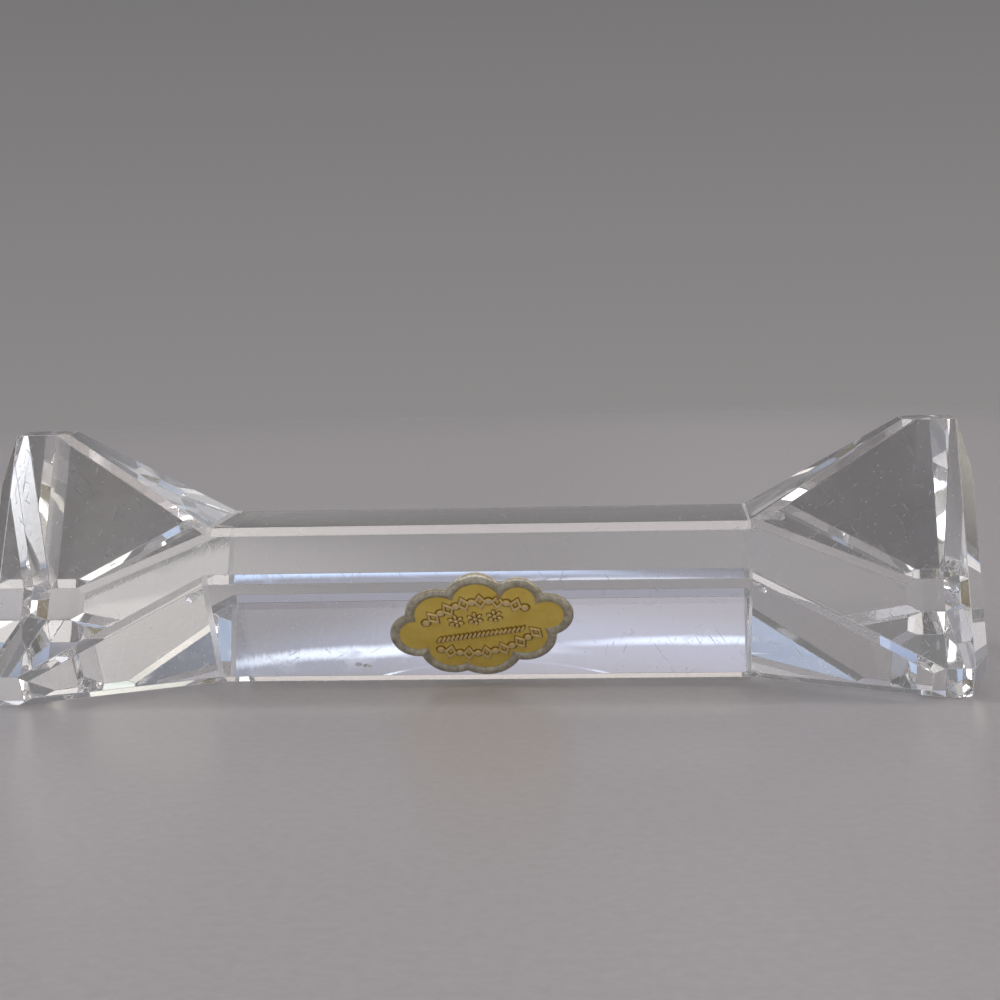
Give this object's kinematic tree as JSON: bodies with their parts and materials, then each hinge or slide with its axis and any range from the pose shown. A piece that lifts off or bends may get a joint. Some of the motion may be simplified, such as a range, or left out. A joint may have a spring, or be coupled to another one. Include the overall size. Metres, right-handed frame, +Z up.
{
  "type": "knife rest",
  "caption": "Three-sided bar of clear cut crystal that lies flat on the table and holds a knife in the notch between its flared ends, with a small foil label.",
  "frame": {"origin": "on the table, under the middle of the bar: the centre of the flat base", "axes": "+X along the bar, +Z up from the table, -Y toward the side that carries the label"},
  "size_m": [0.0948, 0.03, 0.0249],
  "materials": {
    "lead_crystal": "clear lead crystal, hand-cut and polished, with light use scratches",
    "label_gum": "thin layer of dried clear gum",
    "label_paper": "plain white label paper",
    "label_foil": "gold-lacquered aluminium foil with an embossed silver rim and ornament"
  },
  "bodies": {
    "root": {"crystal_body": "lead_crystal", "label_gum": "label_gum", "label_paper": "label_paper", "label_foil": "label_foil"}
  },
  "joints": []
}
